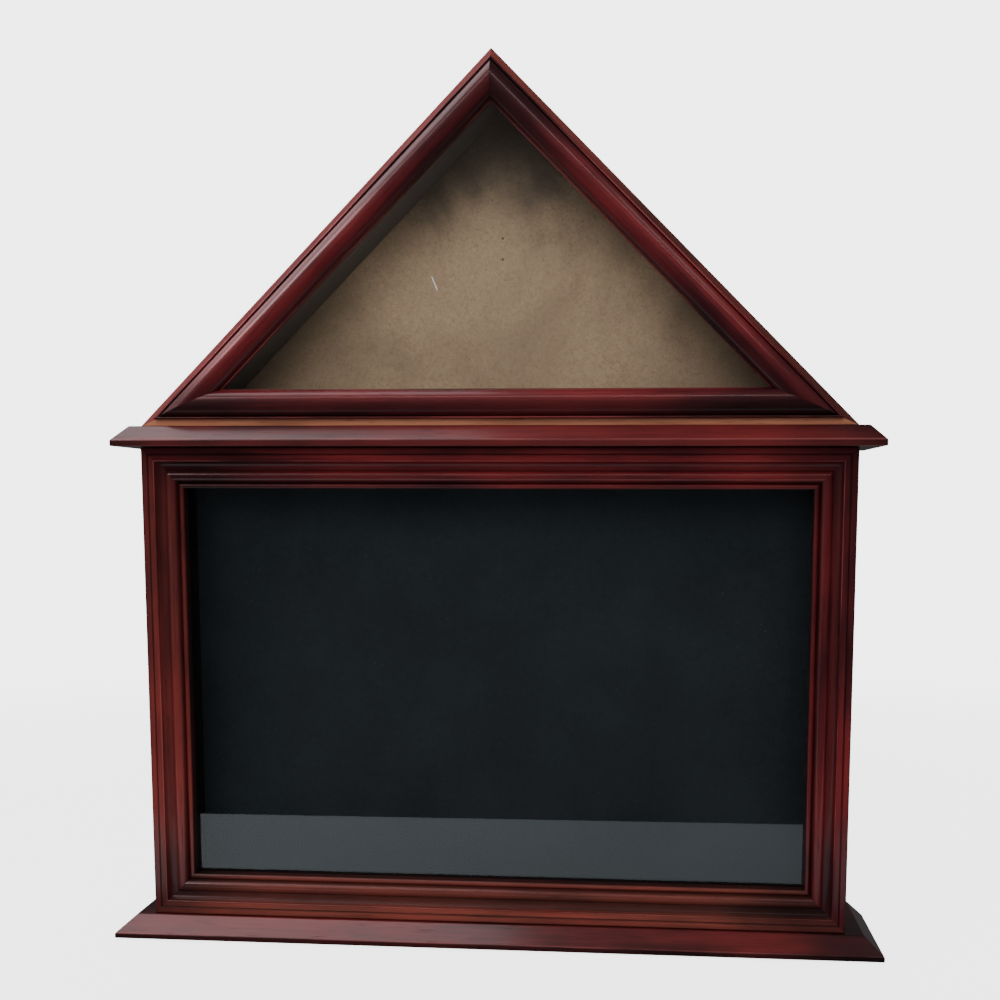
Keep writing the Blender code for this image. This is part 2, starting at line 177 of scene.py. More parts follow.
class Wire:  # a node's output, which can be used in sums
    def __init__(self, finish, socket):
        self.finish, self.socket = finish, socket

    def sums(self, operation, first, second):
        return self.finish.add("ShaderNodeMath", {"operation": operation}, {0: first, 1: second})

    def __add__(self, other):
        return self.sums("ADD", self, other)

    def __radd__(self, other):
        return self.sums("ADD", other, self)

    def __sub__(self, other):
        return self.sums("SUBTRACT", self, other)

    def __rsub__(self, other):
        return self.sums("SUBTRACT", other, self)

    def __mul__(self, other):
        return self.sums("MULTIPLY", self, other)

    def __rmul__(self, other):
        return self.sums("MULTIPLY", other, self)

    def __abs__(self):
        return self.finish.add("ShaderNodeMath", {"operation": "ABSOLUTE"}, {0: self})

    def atMost(self, other):
        return self.sums("MINIMUM", self, other)


class Finish:  # a material, or the world, being put together node by node
    def __init__(self, name, owner=None):
        self.owner = owner or bpy.data.materials.new(name)
        self.owner.use_nodes = True
        self.tree = self.owner.node_tree
        self.tree.nodes.clear()

    def add(self, kind, settings=None, inputs=None, output=0):
        node = self.tree.nodes.new(kind)
        for key, value in (settings or {}).items():
            if key == "stops":
                while len(node.color_ramp.elements) < len(value):
                    node.color_ramp.elements.new(0.5)
                for stop, (position, colour) in zip(node.color_ramp.elements, value):
                    stop.position, stop.color = position, (*colour, 1)
            else:
                setattr(node, key, value)
        for key, value in (inputs or {}).items():
            if isinstance(value, Wire):
                self.tree.links.new(value.socket, node.inputs[key])
            else:
                node.inputs[key].default_value = value
        return Wire(self, node.outputs[output]) if len(node.outputs) else node

    def spot(self):
        return self.add("ShaderNodeTexCoord", output="Object")

    def distance(self, spot, direction, origin=(0, 0, 0)):  # how far along a direction, from a point
        start = -Vector(direction).dot(Vector(origin))
        along = self.add("ShaderNodeVectorMath", {"operation": "DOT_PRODUCT"},
                         {0: spot, 1: tuple(direction)}, "Value")
        return along + start

    def joined(self, x, y, z):
        return self.add("ShaderNodeCombineXYZ", None, {0: x, 1: y, 2: z})

    def noise(self, vector, scale=1.0, detail=4.0, roughness=0.5, distortion=0.0):
        return self.add("ShaderNodeTexNoise", None, {
            "Vector": vector, "Scale": scale, "Detail": detail,
            "Roughness": roughness, "Distortion": distortion})

    def between(self, value, low, high):  # 0 at low, 1 at high, soft in between
        return self.add("ShaderNodeMapRange", {"interpolation_type": "SMOOTHSTEP"}, {
            "Value": value, "From Min": low, "From Max": high, "To Min": 0.0, "To Max": 1.0})

    def ramp(self, value, stops):
        return self.add("ShaderNodeValToRGB", {"stops": stops}, {0: value})

    def blend(self, factor, first, second, how="MIX"):
        first = (*first, 1) if isinstance(first, tuple) else first
        second = (*second, 1) if isinstance(second, tuple) else second
        return self.add("ShaderNodeMix", {"data_type": "RGBA", "blend_type": how},
                        {0: factor, 6: first, 7: second}, 2)

    def bump(self, height, distance, strength):
        return self.add("ShaderNodeBump", None, {
            "Height": height, "Distance": distance, "Strength": strength})

    def surface(self, **inputs):  # a Principled shader straight into the output
        shader = self.add("ShaderNodeBsdfPrincipled", None,
                          {key.replace("_", " "): value for key, value in inputs.items()})
        return self.show(shader)

    def show(self, shader):
        self.add("ShaderNodeOutputMaterial", None, {"Surface": shader})
        return self.owner


cherry = {  # dark cherry stain under satin lacquer, linear colours
    "deep": (0.0170, 0.0024, 0.0038),
    "dark": (0.0500, 0.0052, 0.0080),
    "mid": (0.1220, 0.0092, 0.0122),
    "light": (0.2050, 0.0165, 0.0185),
    "bare": (0.5600, 0.2150, 0.1150),  # thin stain, where the wood shows through brown; where it is laid on a lit side it is painted light
    "rubbed": (0.3600, 0.0850, 0.0840),  # painted highlight along the arrises and on the left roof board's front edge
    "roughness": 0.40,
    "coat": 0.65,
    "coatRoughness": 0.16,
    "toned": 0.13,  # how far the painted shade reaches in from a piece's ends, in metres
}
insides = {"box": (0.0060, 0.0060, 0.0080), "gable": (0.1500, 0.1330, 0.1220)}


def cherryWood(name, along, across, origin=(0, 0, 0), shading=None, width=None, thin=0.0, through="bare",
               seed=0.0, span=None, worn=(), inside=None):
    # along is the grain's direction, across runs over the face from origin, shading is a ramp of painted
    # light and shade over the width, the paler share says how far a paler colour shows through (thin stain,
    # and painted light on some sides), span is the two ends, where painted shade darkens the piece, the
    # arris list gives the arrises in millimetres that get a painted highlight, and inside is the way in, a
    # point and the colour beyond it
    finish = Finish(name)
    spot = finish.spot()
    depthWay = Vector(along).cross(Vector(across))
    length = finish.distance(spot, along)
    reach = finish.distance(spot, across, origin)
    depth = finish.distance(spot, depthWay)
    figure = finish.noise(finish.joined(length * 3.2 + seed, reach * 46, depth * 46), 1, 4, 0.55, 0.6)
    streaks = finish.noise(finish.joined(length * 9 + seed, reach * 260, depth * 260), 1, 5, 0.6, 0.2)
    pores = finish.noise(finish.joined(length * 38 + seed, reach * 1300, depth * 1300), 1, 2, 0.5)
    blotch = finish.noise(finish.joined(length * 7 + seed, reach * 16, depth * 16), 1, 3, 0.5)
    tone = figure * 0.40 + streaks * 0.20 + blotch * 0.48
    stain = finish.ramp(tone, [
        (0.36, cherry["deep"]), (0.46, cherry["dark"]), (0.56, cherry["mid"]), (0.72, cherry["light"])])
    if thin:
        bare = (finish.between(blotch * 0.6 + streaks * 0.4, 0.30, 0.60) * 0.45 + 0.55) * thin
        if through == "rubbed":  # the painted highlight lies only on the front edge, not down the outer face
            ahead = finish.distance(spot, frontward, (0, roofFront, 0))
            bare = bare * finish.between(ahead, -3 * mm, -0.5 * mm)
        stain = finish.blend(bare, stain, cherry[through])
    # painted shade: each piece darker towards both its ends
    if span:
        start, end = Vector(span[0]).dot(Vector(along)), Vector(span[1]).dot(Vector(along))
        fromEnd = (length - start).atMost(end - length)
        toned = 1 - finish.between(fromEnd + (blotch - 0.5) * 0.16, 0.0, cherry["toned"])
        stain = finish.blend(toned * 0.72, stain, cherry["deep"])
    openPores = finish.between(pores, 0.60, 0.74)
    stain = finish.blend(openPores * 0.55, stain, cherry["deep"])
    gloss = 1.0
    if shading:
        # painted light and shade across the piece's width
        shade = finish.ramp(reach * (1 / width), shading)
        stain = finish.blend(1.0, stain, shade, "MULTIPLY")
        gloss = finish.between(shade, 0.30, 0.95) * 0.65 + 0.35  # duller in the hollows
    # painted highlight: a thin paler line along each listed arris
    for arris in worn:
        away = abs(reach - arris * mm)
        rubbed = (1 - finish.between(away, 0.0, 0.7 * mm)) * finish.between(streaks + blotch, 0.85, 1.15)
        stain = finish.blend(rubbed * 0.55, stain, cherry["rubbed"])
    if inside:
        direction, point, colour = inside
        within = finish.between(finish.distance(spot, direction, point), 0.0, 0.3 * mm)
        darker, paler = [tuple(part * amount for part in colour) for amount in (0.6, 1.4)]
        grey = finish.blend(streaks, darker, paler)
        stain = finish.blend(within, stain, grey)
        gloss = (1 - within * 0.9) * gloss
    lacquer = finish.noise(spot, 210, 2, 0.5)  # the film's faint orange peel
    height = streaks * 0.35 + lacquer * 0.40 - openPores * 0.35
    return finish.surface(
        Base_Color=stain,
        Roughness=cherry["roughness"] + (streaks - 0.5) * 0.16 + openPores * 0.12 + (1 - gloss) * 0.35,
        Normal=finish.bump(height, 0.00006, 0.7),
        Coat_Weight=(cherry["coat"] - openPores * 0.4) * gloss,
        Coat_Roughness=cherry["coatRoughness"],
        Coat_IOR=1.5,
        Specular_IOR_Level=0.20)


def hardboard(name, shadedBefore=None):  # pressed fibre, tan and flecked; in front of a plane, painted shade towards the top and the sides, and damp patches
    finish = Finish(name)
    spot = finish.spot()
    fibres = finish.noise(spot, 900, 3, 0.7)
    flecks = finish.noise(spot, 330, 4, 0.65, 0.8)
    cloud = finish.noise(spot, 6, 5, 0.6, 0.6)
    tan = finish.ramp(flecks * 0.55 + fibres * 0.45, [
        (0.30, (0.31, 0.205, 0.124)), (0.50, (0.50, 0.355, 0.230)), (0.72, (0.62, 0.465, 0.312))])
    tan = finish.blend(finish.between(cloud, 0.42, 0.66) * 0.45, tan, (0.25, 0.175, 0.115))
    if shadedBefore is not None:
        inner = finish.between(finish.distance(spot, frontward, (0, shadedBefore, 0)), 0.0, 0.3 * mm)
        height = finish.distance(spot, up, (0, 0, roofBottom))
        # painted shade: darker towards the top, where the roof shades the panel
        paintedTopShade = finish.between(height + (cloud - 0.5) * 0.16, 0.145, 0.262)
        tan = finish.blend(paintedTopShade * inner * 0.80, tan, (0.056, 0.050, 0.048))
        sideways = abs(finish.distance(spot, right))
        # painted shade: darker towards both sides, under the slopes
        corners = finish.between(sideways + (cloud - 0.5) * 0.08, 0.07, 0.27)
        tan = finish.blend(corners * inner * 0.55, tan, (0.120, 0.088, 0.066))
        damp = finish.noise(spot, 11, 3, 0.6, 0.4)
        tan = finish.blend(finish.between(damp, 0.50, 0.72) * inner * 0.14, tan, (0.16, 0.125, 0.100))
    return finish.surface(
        Base_Color=tan, Roughness=0.82 + (fibres - 0.5) * 0.15,
        Normal=finish.bump(fibres * 0.6 + flecks * 0.4, 0.0002, 0.5), Specular_IOR_Level=0.3)


def blackFelt(name, colour, pile):
    finish = Finish(name)
    spot = finish.spot()
    hairs = finish.noise(spot, 1500, 3, 0.7, 1.5)
    tufts = finish.noise(spot, 260, 4, 0.6, 0.6)
    brushed = finish.noise(spot, 9, 3, 0.5)
    tone = hairs * 0.45 + tufts * 0.25 + brushed * 0.35
    dark, light = [tuple(part * amount for part in colour) for amount in (0.60, 1.7)]
    lint = finish.between(finish.noise(spot, 620, 1, 0.5), 0.795, 0.830)
    shade = finish.blend(lint * 0.5, finish.ramp(tone, [(0.35, dark), (0.75, light)]), (0.22, 0.23, 0.23))
    return finish.surface(
        Base_Color=shade, Roughness=0.92 + (tufts - 0.5) * 0.1,
        Normal=finish.bump(hairs * 0.8 + tufts * 0.2, pile, 0.5),
        Sheen_Weight=0.25, Sheen_Roughness=0.5, Sheen_Tint=(0.5, 0.6, 0.7, 1), Specular_IOR_Level=0.15)


glass = {"tint": (0.985, 0.990, 0.988, 1), "blur": 0.012, "index": 1.70}  # one face shines for both


def clearGlass(name, scratch=None):  # clear, with a mirror's share that grows towards the edge of sight
    finish = Finish(name)
    spot = finish.spot()
    clear = finish.add("ShaderNodeBsdfTransparent", None, {0: glass["tint"]})
    mirror = finish.add("ShaderNodeBsdfAnisotropic", None, {
        "Color": (1, 1, 1, 1), "Roughness": glass["blur"]})
    inside = finish.add("ShaderNodeNewGeometry", output="Backfacing")
    share = finish.add("ShaderNodeFresnel", None, {"IOR": glass["index"]}) * (1 - inside)
    pane = finish.add("ShaderNodeMixShader", None, {0: share, 1: clear, 2: mirror})
    if scratch:  # one short hairline, bright where it catches the light
        start, end = Vector(scratch["from"]), Vector(scratch["to"])
        way = (end - start).normalized()
        side = way.cross(frontward)
        off = abs(finish.distance(spot, side, start))
        along = finish.distance(spot, way, start)
        line = (1 - finish.between(off, 0, scratch["width"])) * finish.between(along, 0, 0.004)
        line = line * (1 - finish.between(along, (end - start).length - 0.004, (end - start).length))
        frost = finish.add("ShaderNodeBsdfDiffuse", None, {"Color": (0.75, 0.78, 0.78, 1)})
        pane = finish.add("ShaderNodeMixShader", None, {0: line * 0.85, 1: pane, 2: frost})
    return finish.show(pane)


def plated(name, colour, dull, brushing):  # thin bright plate over stamped steel
    finish = Finish(name)
    spot = finish.spot()
    stretched = finish.add("ShaderNodeMapping", None, {"Vector": spot, "Scale": brushing})
    drawn = finish.noise(stretched, 1, 4, 0.6)
    tarnish = finish.noise(spot, 160, 4, 0.6, 0.5)
    shade = finish.blend(finish.between(tarnish, 0.42, 0.72) * 0.55, colour, dull)
    return finish.surface(
        Base_Color=shade, Metallic=1.0, Roughness=0.24 + drawn * 0.16 + tarnish * 0.12,
        Normal=finish.bump(drawn, 0.00003, 0.6))


def greys(*stops):  # a ramp of plain greys that a stain is multiplied by, painting light and shade
    return [(position, (shade, shade * 0.94, shade * 0.98)) for position, shade in stops]


# over the mouldings' widths, from the outer edge inwards: painted shade in each hollow and painted
# highlights (greys above 1) on the rounds and flats; the bottom rails have ramps of their own with stronger
# painted light and shade, and the crown and plinth ramps paint shade on the front edge
boxShading = greys((0.00, 0.80), (0.10, 1.15), (0.145, 1.05), (0.165, 0.45), (0.180, 0.45), (0.200, 1.15),
                   (0.31, 1.25), (0.345, 1.00), (0.38, 0.60), (0.50, 0.75), (0.550, 0.55), (0.60, 1.00),
                   (0.78, 1.05), (0.835, 0.50), (0.870, 0.40), (0.900, 1.00), (0.970, 0.90), (1.00, 0.25))
boxFootShading = greys(
    (0.00, 0.90), (0.10, 1.35), (0.145, 1.25), (0.165, 0.45), (0.180, 0.45), (0.200, 1.35),
    (0.31, 1.45), (0.345, 1.00), (0.38, 0.35), (0.50, 0.38), (0.550, 0.30), (0.60, 0.60),
    (0.78, 0.80), (0.835, 0.40), (0.870, 0.35), (0.900, 0.90), (0.970, 0.80), (1.00, 0.25))
flagShading = greys((0.00, 0.90), (0.04, 1.30), (0.075, 1.05), (0.090, 0.30), (0.106, 0.35), (0.14, 1.05),
                    (0.45, 1.15), (0.70, 0.85), (0.90, 0.50), (1.00, 0.40))
footShading = greys((0.00, 0.75), (0.04, 0.95), (0.075, 0.80), (0.090, 0.30), (0.106, 0.30), (0.14, 0.42),
                    (0.52, 0.50), (0.72, 1.15), (0.92, 1.30), (1.00, 0.60))
crownShading = greys((0.00, 0.75), (0.040, 0.80), (0.065, 1.00), (0.50, 1.05), (0.95, 0.95), (1.00, 0.70))
plinthShading = greys((0.00, 0.30), (0.035, 0.35), (0.060, 0.95), (0.50, 1.05), (0.95, 1.00), (1.00, 0.80))


boxMoulding = {  # millimetres, like every outline below
    # painted light: per side, the left rail paler for its lit side, the bottom rail paler for light bounced
    # up from below
    "width": 38, "worn": (12.5,), "thin": {"left": 0.07, "right": 0.01, "top": 0.01, "bottom": 0.17}}
# each arris list marks where a painted highlight line runs
flagMoulding = {"width": 27.0, "inset": 6.0, "worn": (1.1, 26.7)}
roofBoards = {  # how far a paler colour shows on each board's front, and which: a painted highlight on the lit left board, thin stain brightened with painted light on the floor board, thin stain on the right
    "left": (0.95, "rubbed"), "right": (0.10, "bare"), "bottom": (1.0, "bare")}


def boxMouldingOutline():
    # rear face, sight bead, hollow, roll, step, cove, arris, flat with a scratched line, eased outer edge
    points = [(0, 0), (38, 0), (38, 7.5)]
    points += arc((35.6, 7.5), (2.4, 2.5), 15, 172, 12)
    points += [(32.7, 7.6), (32.4, 8.0), (32.2, 9.2)]
    points += arc((26.6, 9.2), (5.3, 5.2), 8, 166, 22)
    points += [(21.3, 10.0), (21.1, 10.1)]
    points += arc((20.6, 16.6), (7.6, 6.4), 262, 184, 16)
    points += arc((12.55, 16.75), (0.5, 0.45), 20, 160, 5)
    points += [(11.9, 16.3), (11.6, 16.0), (7.5, 16.0)]
    points += arc((6.6, 16.0), (0.8, 0.85), 0, -180, 8)
    points += [(5.6, 16.0)]
    points += arc((1.4, 14.6), (1.4, 1.4), 90, 176, 6)
    return points


def flagMouldingOutline():
    # rear face, sight edge with its little step, one full roll, a groove and the outer lip bead
    points = [(0, 0), (27.0, 0), (27.0, 3.3), (26.8, 3.7), (26.3, 4.2)]
    points += arc((14.3, 4.2), (11.9, 9.0), 5, 163, 32)
    points += [(2.75, 6.1), (2.55, 5.6), (2.35, 5.5)]
    points += arc((1.15, 5.9), (1.1, 0.9), 5, 175, 10)
    points += [(0, 5.6)]
    return points


def roofBoardOutline():
    # a board rabbeted behind for the back panel, all its arrises eased
    depth = (caseBack - roofFront) / mm
    wide, ease = boardThickness / mm, 0.8
    lip = wide - 7.0
    points = [(ease, 0), (lip, 0), (lip, 3.5), (wide, 3.5)]
    points += arc((wide - ease, depth - ease), (ease, ease), 0, 90, 4)
    points += arc((ease, depth - ease), (ease, ease), 90, 180, 4)
    points += arc((ease, ease), (ease, ease), 180, 270, 4)[:-1]
    return points


def beadOutline():
    return [(0, 0)] + arc((2, 6), (6, 6), -90, 0, 10) + [(8, 8), (0, 8)]


mitreGap = 0.02  # millimetres, on each side of a mitre


def mitredLength(name, outline, start, end, inward, neighbours, rear):
    # the outline is drawn at the start corner, pulled out along the rail, and cut on both mitres
    start, end = Vector((start.x, rear, start.z)), Vector((end.x, rear, end.z))
    way = (end - start).normalized()
    spare = boardThickness * 2
    points = [start - way * spare + (inward * u + frontward * v) * mm for u, v in outline]
    piece = drawOutline(name, points)
    bpy.ops.object.mode_set(mode="EDIT")
    bpy.ops.mesh.select_all(action="SELECT")
    pull = way * ((end - start).length + 2 * spare)
    bpy.ops.mesh.extrude_region_move(TRANSFORM_OT_translate={"value": pull})
    for corner, neighbour in ((start, neighbours[0]), (end, neighbours[1])):
        cut = (inward - neighbour).normalized()
        bpy.ops.mesh.select_all(action="SELECT")
        bpy.ops.mesh.bisect(plane_co=corner - cut * mitreGap * mm, plane_no=cut, use_fill=True,
                            clear_outer=True)
    faceOutward()
    smoothBelow(piece, 28)
    return piece


def makeLength(name, outline, side, rear, **looks):  # one mitred length, its grain running along it
    start, end, inward, neighbours = side
    piece = mitredLength(name + "_shown", outline, start, end, inward, neighbours, rear)
    wood = cherryWood(f"cherry {name}", (end - start).normalized(), inward, start, **looks)
    finishPiece(piece, wood)


def boxCorners(inset):
    edge, low, high = caseHalf - inset, boxBottom + inset, boxTop - inset
    return [Vector((x, 0, z)) for x, z in ((-edge, low), (edge, low), (edge, high), (-edge, high))]


def roofCorners(inset):
    low = roofBottom + inset
    half = caseHalf - inset * (1 + math.sqrt(2))
    return Vector((-half, 0, low)), Vector((half, 0, low)), Vector((0, 0, low + half))


def boxSides(inset):
    a, b, c, d = boxCorners(inset)
    return {
        "left": (a, d, right, (up, -up)), "right": (b, c, -right, (up, -up)),
        "bottom": (a, b, up, (right, -right)), "top": (d, c, -up, (right, -right))}


def roofSides(inset):
    a, b, top = roofCorners(inset)
    return {
        "left": (a, top, inFromLeftSlope, (up, inFromRightSlope)),
        "right": (b, top, inFromRightSlope, (up, inFromLeftSlope)),
        "bottom": (a, b, up, (inFromLeftSlope, inFromRightSlope))}


def makeMouldings():
    for side, rail in boxSides(0).items():
        # the bottom rail takes a ramp of its own, with stronger painted light and shade
        name = f"box_frame_{side}"
        makeLength(name, boxMouldingOutline(), rail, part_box(name)[1].y,
                   shading=boxFootShading if side == "bottom" else boxShading,
                   width=boxMoulding["width"] * mm, thin=boxMoulding["thin"][side],
                   seed=len(name) * 1.7, span=rail[:2], worn=boxMoulding["worn"])
    for side, rail in roofSides(flagMoulding["inset"] * mm).items():
        # the bottom rail takes a ramp of its own, with stronger painted light and shade
        name = f"flag_frame_{side}"
        makeLength(name, flagMouldingOutline(), rail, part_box(name)[1].y,
                   shading=footShading if side == "bottom" else flagShading,
                   width=flagMoulding["width"] * mm,
                   seed=len(name) * 2.3, span=rail[:2], worn=flagMoulding["worn"])
    print("mouldings done")


def makeRoof():
    names = {"left": "roof_board_left", "right": "roof_board_right", "bottom": "flag_floor_board"}
    for side, board in roofSides(0).items():
        name = names[side]
        start, end, inward, neighbours = board
        inner = (inward, start + inward * (boardThickness - 0.5 * mm), insides["gable"])
        thin, through = roofBoards[side]
        makeLength(name, roofBoardOutline(), board, caseBack, thin=thin, through=through,
                   seed=len(name) * 3.1, inside=inner)
    print("roof boards done")


def makeBeads():
    inset = boardThickness + 0.3 * mm
    for prefix, sides, colour in (("box_bead", boxSides(inset), insides["box"]),
                                  ("flag_bead", roofSides(inset), insides["gable"])):
        for side, bead in sides.items():
            name = f"{prefix}_{side}"
            start, end, inward, neighbours = bead
            makeLength(name, beadOutline(), bead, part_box(name)[1].y, seed=len(name),
                       inside=(inward, start - inward, colour))
    print("glazing beads done")


ledges = {
    "plinth_board": {"edge": 4.5, "run": 16.5, "ease": 0.9, "seed": 4.0, "shading": plinthShading},
    "crown_board": {"edge": 5.5, "run": 13.0, "ease": 0.9, "seed": 9.0, "shading": crownShading},
}


def makeLedge(name, edge, run, ease, seed, shading):
    # a slab as thick as its edge, its top pulled up and drawn in at the front and both ends
    low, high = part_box(name)
    middle = (low + high) / 2
    wide, deep = high.x - low.x, high.y - low.y
    board = makeBlock(name + "_shown", (middle.x, middle.y, low.z + edge * mm / 2), (wide, deep, edge * mm))
    bpy.ops.object.mode_set(mode="EDIT")
    pickFaces(board, lambda centre, normal: normal.z > 0.9)
    rise = high.z - low.z - edge * mm
    bpy.ops.mesh.extrude_region_move(TRANSFORM_OT_translate={"value": (0, 0, rise)})
    bpy.ops.transform.resize(value=(1 - 2 * run * mm / wide, 1 - run * mm / deep, 1),
                             center_override=(middle.x, high.y, high.z))
    bpy.ops.object.mode_set(mode="OBJECT")
    easeEdges(board, ease * mm, 4, 20)
    smoothBelow(board, 30)
    # painted highlight along the bevel's arris; the ramp paints shade on the front edge
    wood = cherryWood(f"cherry {name}", right, -frontward, low, shading, run * mm, thin=0.03, seed=seed,
                      span=(low, high), worn=(0.7,))
    finishPiece(board, wood)


def cutAcross(point, normal):  # in edit mode: a line of edges, nothing taken off
    bpy.ops.mesh.select_all(action="SELECT")
    bpy.ops.mesh.bisect(plane_co=point, plane_no=normal, use_fill=False)


boxBoards = {
    "rabbet": 7.0, "rabbetDepth": 3.5, "ease": 0.5,
    "boards": {  # each board's grain, and the way in from its outer face
        "box_side_left": (up, right), "box_side_right": (up, -right),
        "box_floor_board": (right, up), "box_top_board": (right, -up)},
}


def makeBoxBoard(name, grain, inward):
    # made short of the back by the rabbet's depth, then everything outside the rabbet is pulled out behind
    low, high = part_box(name)
    deep = boxBoards["rabbetDepth"] * mm
    middle, size = (low + high) / 2, high - low
    board = makeBlock(name + "_shown", (middle.x, middle.y - deep / 2, middle.z),
                      (size.x, size.y - deep, size.z))
    reach = caseHalf - boardThickness + boxBoards["rabbet"] * mm
    floor = boxBottom + boardThickness - boxBoards["rabbet"] * mm
    ceiling = boxTop - boardThickness + boxBoards["rabbet"] * mm
    bpy.ops.object.mode_set(mode="EDIT")
    for x in (-reach, reach):
        cutAcross((x, 0, 0), (1, 0, 0))
    for z in (floor, ceiling):
        cutAcross((0, 0, z), (0, 0, 1))
    pickFaces(board, lambda centre, normal: normal.y > 0.9 and not (
        abs(centre.x) < reach and floor < centre.z < ceiling))
    bpy.ops.mesh.extrude_region_move(TRANSFORM_OT_translate={"value": (0, deep, 0)})
    bpy.ops.mesh.select_all(action="SELECT")
    bpy.ops.mesh.dissolve_limited(angle_limit=math.radians(1))
    bpy.ops.object.mode_set(mode="OBJECT")
    easeEdges(board, boxBoards["ease"] * mm, 3, 40)
    smoothBelow(board, 30)
    outer = low if inward.x + inward.z > 0 else high
    inner = (inward, outer + inward * (boardThickness - 0.5 * mm), insides["box"])
    wood = cherryWood(f"cherry {name}", grain, -frontward, low, thin=0.05, seed=len(name) * 5.3,
                      span=(low, high), inside=inner)
    finishPiece(board, wood)


sheets = {
    "paneEase": 0.35, "boardEase": 0.3,  # millimetres
    "scratch": {"from": (-0.0552, 0, 0.6240), "to": (-0.0488, 0, 0.6087), "width": 0.0007},
}


def squareSheet(name, ease):
    low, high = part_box(name)
    sheet = makeBlock(name + "_shown", (low + high) / 2, high - low)
    easeEdges(sheet, ease * mm, 2, 30)
    smoothBelow(sheet, 30)
    return sheet


def gableSheet(name, ease):
    # a right-angled triangle drawn on the node's own three corners, then given its thickness
    low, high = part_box(name)
    corners = [(low.x, low.y, low.z), (high.x, low.y, low.z), (0, low.y, high.z)]
    sheet = drawOutline(name + "_shown", corners)
    pullOut((0, high.y - low.y, 0))
    easeEdges(sheet, ease * mm, 2, 30)
    smoothBelow(sheet, 30)
    return sheet


felt = {"cuts": 64, "wave": 0.35, "waveSize": 0.11}  # millimetres of wave, metres between its crests


def makeFelt():
    # the cloth is stretched over its board, so it lies flat but for a slow ripple
    low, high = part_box("felt_lining")
    deselectAll()
    middle = ((low.x + high.x) / 2, high.y - 0.25 * mm, (low.z + high.z) / 2)
    bpy.ops.mesh.primitive_plane_add(size=1, location=middle, rotation=(math.radians(90), 0, 0))
    cloth = named("felt_lining_shown")
    cloth.scale = (high.x - low.x, high.z - low.z, 1)
    settle(cloth)
    bpy.ops.object.mode_set(mode="EDIT")
    bpy.ops.mesh.select_all(action="SELECT")
    bpy.ops.mesh.subdivide(number_cuts=felt["cuts"])
    bpy.ops.object.mode_set(mode="OBJECT")
    ripple = bpy.data.textures.new("felt ripple", "CLOUDS")
    ripple.noise_scale = felt["waveSize"]
    applyModifier(cloth, "DISPLACE", texture=ripple, texture_coords="LOCAL", direction="Y",
                  strength=-felt["wave"] * mm, mid_level=0)
    thick = high.y - low.y - (felt["wave"] + 0.3) * mm
    applyModifier(cloth, "SOLIDIFY", thickness=thick, offset=1)
    easeEdges(cloth, 0.3 * mm, 2, 50)
    smoothBelow(cloth, 30)
    finishPiece(cloth, blackFelt("black felt", (0.0158, 0.0204, 0.0246), 0.00018))


def makeSheets():
    pane = clearGlass("clear glass")
    scratched = clearGlass("scratched glass", sheets["scratch"])
    finishPiece(squareSheet("box_glass", sheets["paneEase"]), pane)
    finishPiece(gableSheet("flag_glass", sheets["paneEase"]), scratched)
    plain = hardboard("raw hardboard")
    for name in ("box_back_panel", "display_board"):
        finishPiece(squareSheet(name, sheets["boardEase"]), plain)
    low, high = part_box("flag_back_panel")
    shadePainted = hardboard("stained hardboard", (low.y + high.y) / 2)
    finishPiece(gableSheet("flag_back_panel", sheets["boardEase"]), shadePainted)
    makeFelt()
    print("panes, panels and felt done")


turnButton = {"pivot": 5.5, "tip": 4.0, "reach": 20.0, "thickness": 1.5, "hole": 1.9, "ease": 0.3}
panScrew = {"head": 3.4, "crown": 2.1, "shank": 1.3, "slotLength": 4.4, "slotWidth": 0.75, "slotDepth": 1.1,
            "threaded": 0.7, "pitch": 0.9, "threadDepth": 0.25}
strap = {"width": 14.0, "thickness": 1.2, "length": 36.0, "eye": 1.6, "screws": (10.0, 30.0), "hole": 1.7}
ring = {"wire": 1.3, "halfWidth": 14.0, "drop": 17.0, "corner": 4.0}


def cylinderCutter(radius, depth, location, rotation=(0, 0, 0)):
    deselectAll()
    bpy.ops.mesh.primitive_cylinder_add(vertices=32, radius=radius, depth=depth, location=location,
                                        rotation=rotation)
    return named("cutter")


def cutWith(piece, cutter):
    applyModifier(piece, "BOOLEAN", object=cutter, operation="DIFFERENCE", solver="EXACT")
    bpy.data.objects.remove(cutter)


def copyTo(model, name, matrix):  # a copy with its own mesh, moved in the mesh
    piece = model.copy()
    piece.data = model.data.copy()
    piece.name = piece.data.name = name
    bpy.context.scene.collection.objects.link(piece)
    piece.data.transform(matrix)
    return piece


def buttonModel():
    part = turnButton
    lean = math.degrees(math.acos((part["pivot"] - part["tip"]) / part["reach"]))
    outline = arc((0, 0), (part["pivot"],) * 2, lean, 360 - lean, 32)
    outline += arc((part["reach"], 0), (part["tip"],) * 2, -lean, lean, 20)
    model = drawOutline("button model", [(x * mm, y * mm, -part["thickness"] * mm / 2) for x, y in outline])
    pullOut((0, 0, part["thickness"] * mm))
    cutWith(model, cylinderCutter(part["hole"] * mm, 5 * mm, (0, 0, 0)))
    easeEdges(model, part["ease"] * mm, 3, 50)
    smoothBelow(model, 35)
    return model


